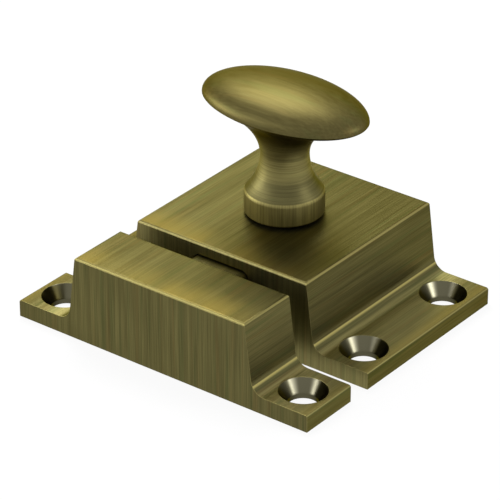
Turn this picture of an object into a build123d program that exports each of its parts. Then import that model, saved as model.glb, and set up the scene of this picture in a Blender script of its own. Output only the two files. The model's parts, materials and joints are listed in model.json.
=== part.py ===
from build123d import *
import math
import os

os.makedirs("parts", exist_ok=True)

# Sizes in mm. The origin is on the knob's axis in the mounting plane, +X runs along
# the flanges, +Y from the keeper to the latch and +Z out of the cabinet's front.

# Hat-shaped section that both castings share
casting_length = 58.4
flange_thickness = 3.0
casting_height = 15.0
block_top_half = 17.07
block_base_half = 18.63
foot_radius = 2.5
block_end_radius = 0.9
flange_end_radius = 0.5
edge_break = 0.25
roof_thickness = 2.05
cavity_corner = 0.8

# Depths of the two castings and the gap between them
latch_depth = 33.9
latch_wall = 2.35
casting_gap = 4.4
keeper_depth = 11.5
keeper_front_wall = 2.55
keeper_back_wall = 2.35

# Countersunk holes for the mounting screws
screw_end_distance = 5.0
screw_side_distance = 5.9
screw_hole_diameter = 5.0
countersink_diameter = 7.9
countersink_depth = 2.2

# Back plate in its recess, with four small countersunk screws
plate_thickness = 1.0
plate_lap_y = 1.0
plate_corner = 1.5
plate_recess_clearance = 0.1
plate_screw_wall_distance = 2.2
plate_screw_end_distance = 1.7
plate_screw_side_distance = 3.6
plate_screw_diameter = 1.9
plate_screw_head_diameter = 3.0
plate_screw_head_height = 0.55
plate_screw_length = 5.3
plate_screw_hole_clearance = 0.05
plate_screw_slot_width = 0.5
plate_screw_slot_depth = 0.3
plate_tap_extra_depth = 0.4

# Bolt: nose, cross-bar, two rails, rear bar and the lug that the crank pushes
bolt_roof_clearance = 0.25
bolt_plate_clearance = 0.15
bolt_half_width = 5.4
bolt_height = 7.0
bolt_top_radius = 1.2
bolt_engagement = 5.0
bolt_bevel = 5.2
bolt_tip_break = 0.25
bar_thickness = 3.0
bar_side_clearance = 0.2
bar_stop_clearance = 0.2
bar_corner = 1.0
rail_clearance = 0.3
rail_width = 1.5
rail_height = 3.0
rear_bar_clearance = 0.5
rear_bar_thickness = 2.0
lug_width = 2.3
lug_corner = 0.6
slot_side_clearance = 0.2
slot_floor_clearance = 0.15
mouth_side_clearance = 0.5
mouth_edge_chamfer = 0.4

# Springs and the pins they stand on
spring_rise = 1.2
spring_rail_clearance = 0.3
spring_wall_clearance = 0.7
spring_outer_diameter = 4.4
spring_wire = 0.6
spring_coils = 9.0
coil_steps = 10
spring_seat_clearance = 0.2
spring_seat_depth = 0.8
guide_diameter = 2.2
guide_seat_depth = 1.5
guide_hole_clearance = 0.02
guide_nose_clearance = 0.8
guide_nose_chamfer = 0.4

# Knob: collar, waisted neck and oval head, its heights counted from the collar's foot
washer_thickness = 0.4
washer_outer_diameter = 10.5
collar_diameter = 13.3
collar_edge_break = 0.3
shoulder_round = 1.5
waist_radius = 4.06
waist_rise = 10.4
neck_arc_radius = 9.6
head_half_x = 15.4
head_half_y = 9.2
head_girth_rise = 18.8
head_dome = 4.3
# Underside of the head: each row is the share of the way from waist to girth in height,
# then how far the long and the short half-width have grown by there
underside_rows = [
    (0.20, 0.027, 0.034),
    (0.35, 0.085, 0.10),
    (0.475, 0.166, 0.182),
    (0.60, 0.309, 0.28),
    (0.70, 0.467, 0.40),
    (0.80, 0.677, 0.577),
    (0.875, 0.837, 0.747),
    (0.94, 0.946, 0.90),
    (0.98, 0.99, 0.978),
    (1.0, 1.0, 1.0),
]
dome_angles = [0, 28, 56, 84]

# Spindle through the housing's roof
shank_diameter = 5.0
shank_length = 5.6
shank_fit = 0.02
journal_diameter = 7.0
journal_clearance = 0.05
washer_bore_clearance = 0.1
spindle_square = 4.0
spindle_square_break = 0.3
square_fit = 0.05
square_recess = 0.2
clip_thickness = 0.6
clip_outer_radius = 5.0
clip_groove_radius = 3.0
clip_clearance = 0.05
clip_opening = 4.4
friction_washer_thickness = 0.2
friction_washer_dish = 0.25

# Crank arm, its screw and lock washer
crank_clearance = 0.1
crank_thickness = 2.6
crank_hub_radius = 3.9
crank_arm_width = 2.0
crank_tip_radius = 1.2
crank_reach = 6.0
crank_swing = 60.0
crank_contact_clearance = 0.12
crank_neck_fillet = 0.6
lock_washer_thickness = 0.6
lock_washer_radius = 2.8
lock_washer_split = 0.5
crank_screw_diameter = 2.4
crank_screw_head_diameter = 5.0
crank_screw_head_height = 1.6
crank_screw_length = 5.6
crank_screw_slot_width = 0.8
crank_screw_slot_depth = 0.7
crank_screw_head_break = 0.4
crank_screw_tip_break = 0.25
tap_clearance = 0.025
tap_extra_depth = 0.6

# Levels and positions that follow from the sizes above
latch_front_y = -latch_depth / 2
latch_back_y = latch_depth / 2
keeper_back_y = latch_front_y - casting_gap
keeper_front_y = keeper_back_y - keeper_depth
keeper_centre_y = (keeper_back_y + keeper_front_y) / 2
roof_underside = casting_height - roof_thickness
cavity_half_y = latch_back_y - latch_wall
screw_spacing_x = casting_length - 2 * screw_end_distance
screw_spacing_y = latch_depth - 2 * screw_side_distance
keeper_cavity_front_y = keeper_front_y + keeper_front_wall
keeper_cavity_back_y = keeper_back_y - keeper_back_wall
countersink_angle = 2 * math.degrees(
    math.atan((countersink_diameter - screw_hole_diameter) / 2 / countersink_depth)
)

# Across the mechanism, from the crank outwards: rails, springs, hollow, back plate
rail_inner_x = crank_reach + crank_tip_radius + rail_clearance
rail_outer_x = rail_inner_x + rail_width
lug_inner_x = rail_inner_x - lug_width
spring_x = rail_outer_x + spring_rail_clearance + spring_outer_diameter / 2
cavity_half_x = spring_x + spring_outer_diameter / 2 + spring_wall_clearance
plate_screw_x = cavity_half_x + plate_screw_wall_distance
plate_half_x = plate_screw_x + plate_screw_end_distance
plate_half_y = cavity_half_y + plate_lap_y
plate_screw_y = plate_half_y - plate_screw_side_distance

bolt_top = roof_underside - bolt_roof_clearance
bolt_bottom = bolt_top - bolt_height
bolt_tip_y = keeper_back_y - bolt_engagement
bar_front_y = -cavity_half_y + bar_stop_clearance
bar_rear_y = bar_front_y + bar_thickness
bar_bottom = plate_thickness + bolt_plate_clearance
bar_half_x = cavity_half_x - bar_side_clearance
rear_bar_front_y = crank_hub_radius + rear_bar_clearance
rear_bar_rear_y = rear_bar_front_y + rear_bar_thickness
rail_top = bolt_bottom + rail_height
spring_z = bolt_bottom + spring_rise
slot_half_width = bolt_half_width + slot_side_clearance
slot_bottom = bolt_bottom - slot_floor_clearance
mouth_half_width = bolt_half_width + mouth_side_clearance

crank_rest_angle = 180 + crank_swing / 2
crank_bottom = bolt_bottom + crank_clearance
crank_top = crank_bottom + crank_thickness
crank_tip_x = crank_reach * math.cos(math.radians(crank_rest_angle))
crank_tip_y = crank_reach * math.sin(math.radians(crank_rest_angle))
lug_front_y = crank_tip_y + crank_tip_radius + crank_contact_clearance
bolt_travel = 2 * crank_reach * math.sin(math.radians(crank_swing / 2))
guide_front_y = bar_rear_y + bolt_travel + guide_nose_clearance
guide_length = cavity_half_y + guide_seat_depth - guide_front_y

collar_bottom = casting_height + washer_thickness
knob_plane = Plane(origin=(0, 0, collar_bottom), x_dir=(1, 0, 0), z_dir=(0, -1, 0))
neck_foot_drop = math.sqrt(
    neck_arc_radius**2 - (waist_radius + neck_arc_radius - collar_diameter / 2) ** 2
)
neck_foot_rise = waist_rise - neck_foot_drop
neck_arc_angle = math.degrees(math.asin(neck_foot_drop / neck_arc_radius))
journal_radius = journal_diameter / 2
washer_bore_radius = journal_radius + washer_bore_clearance
square_bottom = crank_bottom + square_recess
friction_washer_drop = friction_washer_thickness + friction_washer_dish
clip_top = roof_underside - friction_washer_drop - 3 * clip_clearance
clip_bottom = clip_top - clip_thickness
lock_washer_bottom = crank_bottom - lock_washer_thickness
crank_screw_radius = crank_screw_diameter / 2

# Where the back plate's screws stand, and the angle of their heads
plate_screw_spots = [
    (-plate_screw_x, -plate_screw_y),
    (plate_screw_x, -plate_screw_y),
    (plate_screw_x, plate_screw_y),
    (-plate_screw_x, plate_screw_y),
]
plate_screw_angle = 2 * math.degrees(
    math.atan((plate_screw_head_diameter - plate_screw_diameter) / 2 / plate_screw_head_height)
)

# Corners of the castings' common section, counter-clockwise from the left flange's foot
casting_half = casting_length / 2
hat_corners = [
    (-casting_half, 0),
    (casting_half, 0),
    (casting_half, flange_thickness),
    (block_base_half, flange_thickness),
    (block_top_half, casting_height),
    (-block_top_half, casting_height),
    (-block_base_half, flange_thickness),
    (-casting_half, flange_thickness),
]

# Latch housing
with BuildPart() as latch_housing:
    with BuildSketch(Plane.XZ) as latch_section:
        with BuildLine():
            Polyline(*hat_corners, close=True)
        make_face()
        fillet(latch_section.vertices().group_by(Axis.Y)[-1], block_end_radius)
        fillet(latch_section.vertices().group_by(Axis.Y)[1].sort_by(Axis.X)[1:3], foot_radius)
        fillet(latch_section.vertices().group_by(Axis.Y)[1].sort_by(Axis.X)[0:1], flange_end_radius)
        fillet(latch_section.vertices().group_by(Axis.X)[-1].sort_by(Axis.Y)[-1:], flange_end_radius)
    extrude(amount=latch_depth / 2, both=True)
    latch_outline = latch_housing.faces().sort_by(Axis.Y)[0].edges()
    latch_outline += latch_housing.faces().sort_by(Axis.Y)[-1].edges()
    chamfer(latch_outline.filter_by(lambda edge: edge.center().Z > edge_break), edge_break)
    # hollow under the block, open below
    with BuildSketch(Plane.XY):
        RectangleRounded(2 * cavity_half_x, 2 * cavity_half_y, cavity_corner)
    extrude(amount=roof_underside, mode=Mode.SUBTRACT)
    # recess for the back plate
    with BuildSketch(Plane.XY):
        RectangleRounded(
            2 * (plate_half_x + plate_recess_clearance),
            2 * (plate_half_y + plate_recess_clearance),
            plate_corner + plate_recess_clearance,
        )
    extrude(amount=plate_thickness, mode=Mode.SUBTRACT)
    # tapped holes for the plate's screws
    with BuildSketch(Plane.XY.offset(plate_thickness)):
        with GridLocations(2 * plate_screw_x, 2 * plate_screw_y, 2, 2):
            Circle(plate_screw_diameter / 2 + plate_screw_hole_clearance)
    extrude(
        amount=plate_screw_length - plate_thickness + plate_tap_extra_depth,
        mode=Mode.SUBTRACT,
    )
    # slot for the bolt's nose in the front wall
    with BuildSketch(Plane.XZ.offset(cavity_half_y - edge_break)) as slot_section:
        with Locations((0, (slot_bottom + roof_underside) / 2)):
            Rectangle(2 * slot_half_width, roof_underside - slot_bottom)
        fillet(
            slot_section.vertices().group_by(Axis.Y)[-1],
            bolt_top_radius + slot_side_clearance,
        )
    extrude(amount=latch_wall + 2 * edge_break, mode=Mode.SUBTRACT)
    # bore for the spindle
    with BuildSketch(Plane.XY.offset(roof_underside - edge_break)):
        Circle(journal_radius + journal_clearance)
    extrude(amount=roof_thickness + 2 * edge_break, mode=Mode.SUBTRACT)
    # blind holes for the spring guides in the rear wall
    with BuildSketch(Plane.XZ.offset(-cavity_half_y)):
        with Locations((-spring_x, spring_z), (spring_x, spring_z)):
            Circle(guide_diameter / 2 + guide_hole_clearance)
    extrude(amount=-guide_seat_depth, mode=Mode.SUBTRACT)
    with Locations((0, 0, flange_thickness)):
        with GridLocations(screw_spacing_x, screw_spacing_y, 2, 2):
            CounterSinkHole(
                screw_hole_diameter / 2,
                countersink_diameter / 2,
                depth=2 * flange_thickness,
                counter_sink_angle=countersink_angle,
            )
latch_housing.part.label = "latch_housing"
export_step(latch_housing.part, "parts/latch_housing.step")

# Keeper: the same section, shorter, with a mouth for the bolt in its back wall
with BuildPart() as keeper:
    with BuildSketch(Plane.XZ.offset(-keeper_centre_y)) as keeper_section:
        with BuildLine():
            Polyline(*hat_corners, close=True)
        make_face()
        fillet(keeper_section.vertices().group_by(Axis.Y)[-1], block_end_radius)
        fillet(keeper_section.vertices().group_by(Axis.Y)[1].sort_by(Axis.X)[1:3], foot_radius)
        fillet(keeper_section.vertices().group_by(Axis.Y)[1].sort_by(Axis.X)[0:1], flange_end_radius)
        fillet(keeper_section.vertices().group_by(Axis.X)[-1].sort_by(Axis.Y)[-1:], flange_end_radius)
    extrude(amount=keeper_depth / 2, both=True)
    keeper_outline = keeper.faces().sort_by(Axis.Y)[0].edges()
    keeper_outline += keeper.faces().sort_by(Axis.Y)[-1].edges()
    chamfer(keeper_outline.filter_by(lambda edge: edge.center().Z > edge_break), edge_break)
    # hollow under the block, open below
    with BuildSketch(Plane.XY):
        with Locations((0, (keeper_cavity_front_y + keeper_cavity_back_y) / 2)):
            RectangleRounded(
                2 * cavity_half_x,
                keeper_cavity_back_y - keeper_cavity_front_y,
                cavity_corner,
            )
    extrude(amount=roof_underside, mode=Mode.SUBTRACT)
    # mouth, open at the bottom so that the nose can drop in while the door closes
    with BuildSketch(Plane.XZ.offset(-keeper_back_y - edge_break)) as mouth_section:
        with Locations((0, roof_underside / 2)):
            Rectangle(2 * mouth_half_width, roof_underside)
        fillet(
            mouth_section.vertices().group_by(Axis.Y)[-1],
            bolt_top_radius + mouth_side_clearance,
        )
    extrude(amount=keeper_back_wall + 2 * edge_break, mode=Mode.SUBTRACT)
    # lead-in around the mouth's rim
    mouth_rim = keeper.edges().filter_by(
        lambda edge: edge.center().Y > keeper_back_y - edge_break / 2
        and abs(edge.center().X) < mouth_half_width + edge_break / 2
        and edge.center().Z < roof_underside + edge_break / 2
    )
    chamfer(mouth_rim, mouth_edge_chamfer)
    with Locations(
        (-screw_spacing_x / 2, keeper_centre_y, flange_thickness),
        (screw_spacing_x / 2, keeper_centre_y, flange_thickness),
    ):
        CounterSinkHole(
            screw_hole_diameter / 2,
            countersink_diameter / 2,
            depth=2 * flange_thickness,
            counter_sink_angle=countersink_angle,
        )
keeper.part.label = "keeper"
export_step(keeper.part, "parts/keeper.step")

# Knob: collar and neck turned from one profile
with BuildPart() as knob:
    with BuildSketch(knob_plane) as neck_section:
        with BuildLine():
            Line((0, waist_rise), (0, 0))
            Line((0, 0), (collar_diameter / 2, 0))
            Line((collar_diameter / 2, 0), (collar_diameter / 2, neck_foot_rise))
            CenterArc(
                (waist_radius + neck_arc_radius, waist_rise),
                neck_arc_radius,
                180 + neck_arc_angle,
                -neck_arc_angle,
            )
            Line((waist_radius, waist_rise), (0, waist_rise))
        make_face()
        chamfer(neck_section.vertices().group_by(Axis.Y)[0].sort_by(Axis.X)[-1], collar_edge_break)
        fillet(neck_section.vertices().group_by(Axis.X)[-1].sort_by(Axis.Y)[-1], shoulder_round)
    revolve(axis=Axis.Z)
    # head, run smoothly out of the neck through oval sections and closed by its dome
    with BuildSketch(Plane.XY.offset(collar_bottom + waist_rise)):
        Circle(waist_radius)
    for height_share, growth_x, growth_y in underside_rows:
        section_rise = waist_rise + height_share * (head_girth_rise - waist_rise)
        with BuildSketch(Plane.XY.offset(collar_bottom + section_rise)):
            Ellipse(
                waist_radius + growth_x * (head_half_x - waist_radius),
                waist_radius + growth_y * (head_half_y - waist_radius),
            )
    loft()
    for angle in dome_angles:
        section_rise = head_girth_rise + head_dome * math.sin(math.radians(angle))
        with BuildSketch(Plane.XY.offset(collar_bottom + section_rise)):
            Ellipse(
                head_half_x * math.cos(math.radians(angle)),
                head_half_y * math.cos(math.radians(angle)),
            )
    loft()
    # blind bore for the spindle's shank
    with BuildSketch(Plane.XY.offset(collar_bottom)):
        Circle(shank_diameter / 2 + shank_fit)
    extrude(amount=shank_length + 2 * shank_fit, mode=Mode.SUBTRACT)
knob.part.label = "knob"
export_step(knob.part, "parts/knob.step")

# Washer under the collar
with BuildPart() as knob_washer:
    with BuildSketch(Plane.XY.offset(casting_height)):
        Circle(washer_outer_diameter / 2)
        Circle(washer_bore_radius, mode=Mode.SUBTRACT)
    extrude(amount=washer_thickness)
knob_washer.part.label = "knob_washer"
export_step(knob_washer.part, "parts/knob_washer.step")

# Spindle: square end, journal with the clip's groove, shank in the collar
with BuildPart() as spindle:
    with BuildSketch(Plane.XY.offset(square_bottom)) as spindle_end:
        Rectangle(spindle_square, spindle_square, rotation=crank_rest_angle)
        chamfer(spindle_end.vertices(), spindle_square_break)
    extrude(amount=crank_top - square_bottom)
    with BuildSketch(Plane.XY.offset(crank_top)):
        Circle(journal_radius)
    extrude(amount=collar_bottom - crank_top)
    with BuildSketch(Plane.XY.offset(collar_bottom)):
        Circle(shank_diameter / 2)
    extrude(amount=shank_length)
    chamfer(spindle.edges().sort_by(Axis.Z)[-1], spindle_square_break)
    with BuildSketch(Plane.XY.offset(clip_bottom - clip_clearance)):
        Circle(journal_diameter)
        Circle(clip_groove_radius, mode=Mode.SUBTRACT)
    extrude(amount=clip_thickness + 2 * clip_clearance, mode=Mode.SUBTRACT)
    with BuildSketch(Plane.XY.offset(square_bottom)):
        Circle(crank_screw_radius + tap_clearance)
    extrude(
        amount=crank_screw_length - lock_washer_thickness - square_recess + tap_extra_depth,
        mode=Mode.SUBTRACT,
    )
spindle.part.label = "spindle"
export_step(spindle.part, "parts/spindle.step")

# Dished friction washer between the roof and the clip
with BuildPart() as friction_washer:
    with BuildSketch(Plane.XZ):
        with BuildLine():
            Polyline(
                (clip_outer_radius, clip_top + clip_clearance),
                (clip_outer_radius, clip_top + clip_clearance + friction_washer_thickness),
                (washer_bore_radius, roof_underside - clip_clearance),
                (washer_bore_radius, roof_underside - clip_clearance - friction_washer_thickness),
                close=True,
            )
        make_face()
    revolve(axis=Axis.Z)
friction_washer.part.label = "friction_washer"
export_step(friction_washer.part, "parts/friction_washer.step")

# Retaining clip, an open ring in the journal's groove
with BuildPart() as retaining_clip:
    with BuildSketch(Plane.XY.offset(clip_bottom)) as clip_outline:
        Circle(clip_outer_radius)
        Circle(clip_groove_radius + clip_clearance, mode=Mode.SUBTRACT)
        with Locations((0, clip_outer_radius)):
            Rectangle(clip_opening, 2 * clip_outer_radius, mode=Mode.SUBTRACT)
        fillet(clip_outline.vertices().group_by(Axis.Y)[-1], clip_thickness)
    extrude(amount=clip_thickness)
retaining_clip.part.label = "retaining_clip"
export_step(retaining_clip.part, "parts/retaining_clip.step")

# Crank arm: hub on the spindle's square, slim arm, round lobe
with BuildPart() as crank_arm:
    with BuildSketch(Plane.XY.offset(crank_bottom)) as crank_outline:
        Circle(crank_hub_radius)
        with Locations((crank_tip_x / 2, crank_tip_y / 2)):
            Rectangle(crank_reach, crank_arm_width, rotation=crank_rest_angle)
        fillet(
            crank_outline.vertices().filter_by(
                lambda spot: abs(math.hypot(spot.X, spot.Y) - crank_hub_radius) < 0.01
            ),
            crank_neck_fillet,
        )
        with Locations((crank_tip_x, crank_tip_y)):
            Circle(crank_tip_radius)
        Rectangle(
            spindle_square + 2 * square_fit,
            spindle_square + 2 * square_fit,
            rotation=crank_rest_angle,
            mode=Mode.SUBTRACT,
        )
    extrude(amount=crank_top - crank_bottom)
crank_arm.part.label = "crank_arm"
export_step(crank_arm.part, "parts/crank_arm.step")

# Split lock washer under the crank's screw
with BuildPart() as lock_washer:
    with BuildSketch(Plane.XY.offset(lock_washer_bottom)):
        Circle(lock_washer_radius)
        Circle(crank_screw_radius + washer_bore_clearance, mode=Mode.SUBTRACT)
        with Locations((lock_washer_radius, 0)):
            Rectangle(2 * lock_washer_radius, lock_washer_split, mode=Mode.SUBTRACT)
    extrude(amount=lock_washer_thickness)
lock_washer.part.label = "lock_washer"
export_step(lock_washer.part, "parts/lock_washer.step")

# Slotted screw that holds the crank arm on the square
with BuildPart() as crank_screw:
    with BuildSketch(Plane.XY.offset(lock_washer_bottom)):
        Circle(crank_screw_head_diameter / 2)
    extrude(amount=-crank_screw_head_height)
    chamfer(crank_screw.edges().sort_by(Axis.Z)[0], crank_screw_head_break)
    with BuildSketch(Plane.XY.offset(lock_washer_bottom)):
        Circle(crank_screw_radius)
    extrude(amount=crank_screw_length)
    chamfer(crank_screw.edges().sort_by(Axis.Z)[-1], crank_screw_tip_break)
    with BuildSketch(Plane.XY.offset(lock_washer_bottom - crank_screw_head_height)):
        Rectangle(2 * crank_screw_head_diameter, crank_screw_slot_width)
    extrude(amount=crank_screw_slot_depth, mode=Mode.SUBTRACT)
crank_screw.part.label = "crank_screw"
export_step(crank_screw.part, "parts/crank_screw.step")

# Bolt
with BuildPart() as bolt:
    with BuildSketch(Plane.XZ.offset(-bar_front_y)) as nose_section:
        with Locations((0, (bolt_bottom + bolt_top) / 2)):
            Rectangle(2 * bolt_half_width, bolt_height)
        fillet(nose_section.vertices().group_by(Axis.Y)[-1], bolt_top_radius)
    extrude(amount=bar_front_y - bolt_tip_y)
    nose_tip = bolt.faces().sort_by(Axis.Y)[0]
    chamfer(nose_tip.edges().sort_by(Axis.Z)[0], bolt_bevel)
    nose_tip = bolt.faces().sort_by(Axis.Y)[0]
    chamfer(nose_tip.edges(), bolt_tip_break)
    # cross-bar that rests against the inside of the front wall
    with BuildSketch(Plane.XY.offset(bar_bottom)) as bar_outline:
        with Locations((0, (bar_front_y + bar_rear_y) / 2)):
            Rectangle(2 * bar_half_x, bar_thickness)
        fillet(bar_outline.vertices(), bar_corner)
    extrude(amount=bolt_top - bar_bottom)
    # rails to either side of the crank
    with BuildSketch(Plane.XY.offset(bolt_bottom)):
        with Locations(
            (-(rail_inner_x + rail_outer_x) / 2, (bar_rear_y + rear_bar_rear_y) / 2),
            ((rail_inner_x + rail_outer_x) / 2, (bar_rear_y + rear_bar_rear_y) / 2),
        ):
            Rectangle(rail_width, rear_bar_rear_y - bar_rear_y)
    extrude(amount=rail_height)
    # rear bar that slides on the back plate
    with BuildSketch(Plane.XY.offset(bar_bottom)):
        with Locations((0, (rear_bar_front_y + rear_bar_rear_y) / 2)):
            Rectangle(2 * rail_outer_x, rear_bar_thickness)
    extrude(amount=rail_top - bar_bottom)
    # lug in front of the crank's lobe
    with BuildSketch(Plane.XY.offset(bolt_bottom)) as lug_outline:
        with Locations((-(lug_inner_x + rail_inner_x) / 2, (lug_front_y + rear_bar_front_y) / 2)):
            Rectangle(rail_inner_x - lug_inner_x, rear_bar_front_y - lug_front_y)
        fillet(lug_outline.vertices().sort_by(lambda spot: spot.Y - spot.X)[0], lug_corner)
    extrude(amount=rail_height)
    # seats for the springs
    with BuildSketch(Plane.XZ.offset(-bar_rear_y)):
        with Locations((-spring_x, spring_z), (spring_x, spring_z)):
            Circle(spring_outer_diameter / 2 + spring_seat_clearance)
    extrude(amount=spring_seat_depth, mode=Mode.SUBTRACT)
bolt.part.label = "bolt"
export_step(bolt.part, "parts/bolt.step")

# Springs and their guide pins, one of each on either side
spring_front_y = bar_rear_y - spring_seat_depth
coil_radius = (spring_outer_diameter - spring_wire) / 2
coil_front_y = spring_front_y + spring_wire / 2
coil_pitch = (cavity_half_y - spring_front_y - spring_wire) / spring_coils
for side, side_x in (("left", -spring_x), ("right", spring_x)):
    with BuildPart() as bolt_spring:
        with BuildLine() as coil_path:
            Polyline(
                [
                    (
                        side_x + coil_radius * math.cos(2 * math.pi * step / coil_steps),
                        coil_front_y + coil_pitch * step / coil_steps,
                        spring_z + coil_radius * math.sin(2 * math.pi * step / coil_steps),
                    )
                    for step in range(int(spring_coils * coil_steps) + 1)
                ]
            )
        with BuildSketch(Plane(origin=coil_path.line @ 0, z_dir=coil_path.line % 0)):
            RegularPolygon(spring_wire / 2, 6)
        sweep(path=coil_path.line, transition=Transition.RIGHT)
    bolt_spring.part.label = "bolt_spring_" + side
    export_step(bolt_spring.part, "parts/bolt_spring_" + side + ".step")

    with BuildPart() as spring_guide:
        with BuildSketch(Plane.XZ.offset(-cavity_half_y - guide_seat_depth)):
            with Locations((side_x, spring_z)):
                Circle(guide_diameter / 2)
        extrude(amount=guide_length)
        chamfer(spring_guide.edges().sort_by(Axis.Y)[0], guide_nose_chamfer)
    spring_guide.part.label = "spring_guide_" + side
    export_step(spring_guide.part, "parts/spring_guide_" + side + ".step")

# Back plate with countersinks on its lower face
with BuildPart() as back_plate:
    with BuildSketch(Plane.XY):
        RectangleRounded(2 * plate_half_x, 2 * plate_half_y, plate_corner)
    extrude(amount=plate_thickness)
    with Locations([Location((x, y, 0), (180, 0, 0)) for x, y in plate_screw_spots]):
        CounterSinkHole(
            plate_screw_diameter / 2 + plate_screw_hole_clearance,
            plate_screw_head_diameter / 2 + plate_screw_hole_clearance,
            depth=2 * plate_thickness,
            counter_sink_angle=plate_screw_angle,
        )
back_plate.part.label = "back_plate"
export_step(back_plate.part, "parts/back_plate.step")

# Countersunk screws of the back plate, their heads flush with its lower face
for number, (screw_x, screw_y) in enumerate(plate_screw_spots, start=1):
    with BuildPart() as plate_screw:
        with BuildSketch(Plane.XY):
            with Locations((screw_x, screw_y)):
                Circle(plate_screw_head_diameter / 2)
        with BuildSketch(Plane.XY.offset(plate_screw_head_height)):
            with Locations((screw_x, screw_y)):
                Circle(plate_screw_diameter / 2)
        loft()
        with BuildSketch(Plane.XY.offset(plate_screw_head_height)):
            with Locations((screw_x, screw_y)):
                Circle(plate_screw_diameter / 2)
        extrude(amount=plate_screw_length - plate_screw_head_height)
        with BuildSketch(Plane.XY):
            with Locations((screw_x, screw_y)):
                Rectangle(plate_screw_head_diameter, plate_screw_slot_width)
                Rectangle(plate_screw_slot_width, plate_screw_head_diameter)
        extrude(amount=plate_screw_slot_depth, mode=Mode.SUBTRACT)
    plate_screw.part.label = "back_plate_screw_" + str(number)
    export_step(plate_screw.part, "parts/back_plate_screw_" + str(number) + ".step")
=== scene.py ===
import json
import math

import bmesh
import bpy
from bpy.props import FloatProperty, FloatVectorProperty, IntProperty, PointerProperty
from mathutils import Matrix, Vector


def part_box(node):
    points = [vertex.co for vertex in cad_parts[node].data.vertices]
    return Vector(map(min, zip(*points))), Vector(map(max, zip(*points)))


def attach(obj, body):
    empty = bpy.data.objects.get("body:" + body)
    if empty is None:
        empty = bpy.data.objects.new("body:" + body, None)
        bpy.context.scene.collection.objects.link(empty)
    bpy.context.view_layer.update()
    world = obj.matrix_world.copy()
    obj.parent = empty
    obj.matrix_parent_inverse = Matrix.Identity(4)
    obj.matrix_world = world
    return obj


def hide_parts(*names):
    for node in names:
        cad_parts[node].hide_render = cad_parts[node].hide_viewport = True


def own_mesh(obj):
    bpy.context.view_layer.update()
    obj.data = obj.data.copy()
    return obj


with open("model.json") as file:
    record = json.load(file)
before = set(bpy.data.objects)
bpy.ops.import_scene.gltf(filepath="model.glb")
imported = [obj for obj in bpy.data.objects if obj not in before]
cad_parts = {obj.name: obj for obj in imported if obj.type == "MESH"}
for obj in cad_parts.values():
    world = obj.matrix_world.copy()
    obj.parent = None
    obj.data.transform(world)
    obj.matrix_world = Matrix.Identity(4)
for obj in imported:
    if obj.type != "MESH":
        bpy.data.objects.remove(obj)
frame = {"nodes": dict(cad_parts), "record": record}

bl_info = {
    "name": "Cabinet lock in antique brass",
    "version": (1, 0, 0),
    "blender": (4, 5, 0),
    "location": "View3D > Sidebar > Cabinet lock",
    "description": "Dresses a cabinet lock: brushed brass castings, oval knob, bolt and springs",
    "category": "Object",
}

MM = 0.001
PAST = 1.0 * MM  # how far a cutter reaches past the face that it opens
INTO = 0.3 * MM  # how far a cutter reaches into the hollow behind a wall
SAME = 1e-6  # metres within which a vertex lies on a corner of the outline
LEVEL = 1e-7  # metres within which two vertices are level, or doubled
HOLE_SEGMENTS = 64
TAPPED_SEGMENTS = 20
CORNER_SEGMENTS = 6
GRAIN = 0.6  # roughness of the noise that draws brush lines
LATCH_LOW, LATCH_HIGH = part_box("latch_housing")
KEEPER_LOW, KEEPER_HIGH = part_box("keeper")
KNOB_LOW, KNOB_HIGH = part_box("knob")
BOLT_LOW, BOLT_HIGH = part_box("bolt")
PLATE_LOW, PLATE_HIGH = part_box("back_plate")

# Share of the height from the waist to the girth, and how far the head's underside
# has grown there towards its half length and its half width.
UNDERSIDE = (
    (0.0, 0.0, 0.0), (0.20, 0.027, 0.034), (0.35, 0.085, 0.10), (0.475, 0.166, 0.182),
    (0.60, 0.309, 0.28), (0.70, 0.467, 0.40), (0.80, 0.677, 0.577), (0.875, 0.837, 0.747),
    (0.94, 0.946, 0.90), (0.98, 0.99, 0.978), (1.0, 1.0, 1.0),
)


def length(name, description, millimetres, signed=False):
    return FloatProperty(
        name=name, description=description, default=millimetres * MM,
        min=-1.0 if signed else 0.0, precision=5, subtype="DISTANCE", unit="LENGTH",
    )


def turned(name, description, degrees):
    return FloatProperty(
        name=name, description=description, default=math.radians(degrees),
        subtype="ANGLE", unit="ROTATION",
    )


def watts(name, description, power):
    return FloatProperty(name=name, description=description, default=power, min=0.0, unit="POWER")


def tint(name, description, red, green, blue):
    return FloatVectorProperty(
        name=name, description=description, default=(red, green, blue), size=3, min=0.0, max=1.0,
        subtype="COLOR",
    )


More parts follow.
